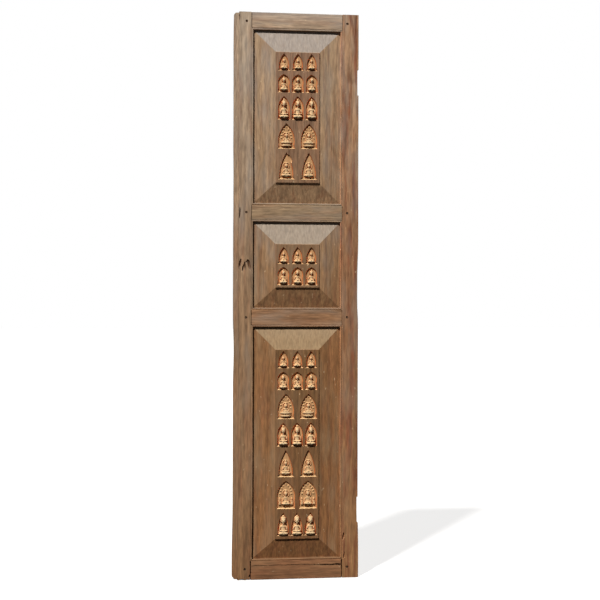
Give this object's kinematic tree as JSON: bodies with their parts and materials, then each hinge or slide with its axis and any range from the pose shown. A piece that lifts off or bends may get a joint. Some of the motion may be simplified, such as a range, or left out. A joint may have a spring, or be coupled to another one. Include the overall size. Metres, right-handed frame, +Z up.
{
  "type": "wooden door leaf",
  "caption": "Tall frame-and-panel door leaf of weathered wood, with raised sloping panels carved with rows of small seated figures in arched niches.",
  "frame": {"origin": "bottom centre of the leaf's box, on the line of its bottom edge", "axes": "+Z up the leaf, +X across it from the meeting stile to the hinge stile, the carved front faces -Y"},
  "size_m": [0.443, 0.064, 2],
  "materials": {
    "frame_teak": "bare weathered hardwood, matte, open grain",
    "panel_teak": "bare weathered hardwood, matte, with paler fresh-cut carving",
    "peg_wood": "dark end grain, matte"
  },
  "bodies": {
    "root": {"meeting_stile": "frame_teak", "hinge_stile": "frame_teak", "top_rail": "frame_teak", "upper_middle_rail": "frame_teak", "lower_middle_rail": "frame_teak", "bottom_rail": "frame_teak", "upper_panel": "panel_teak", "middle_panel": "panel_teak", "lower_panel": "panel_teak", "joint_pegs": "peg_wood"}
  },
  "joints": []
}
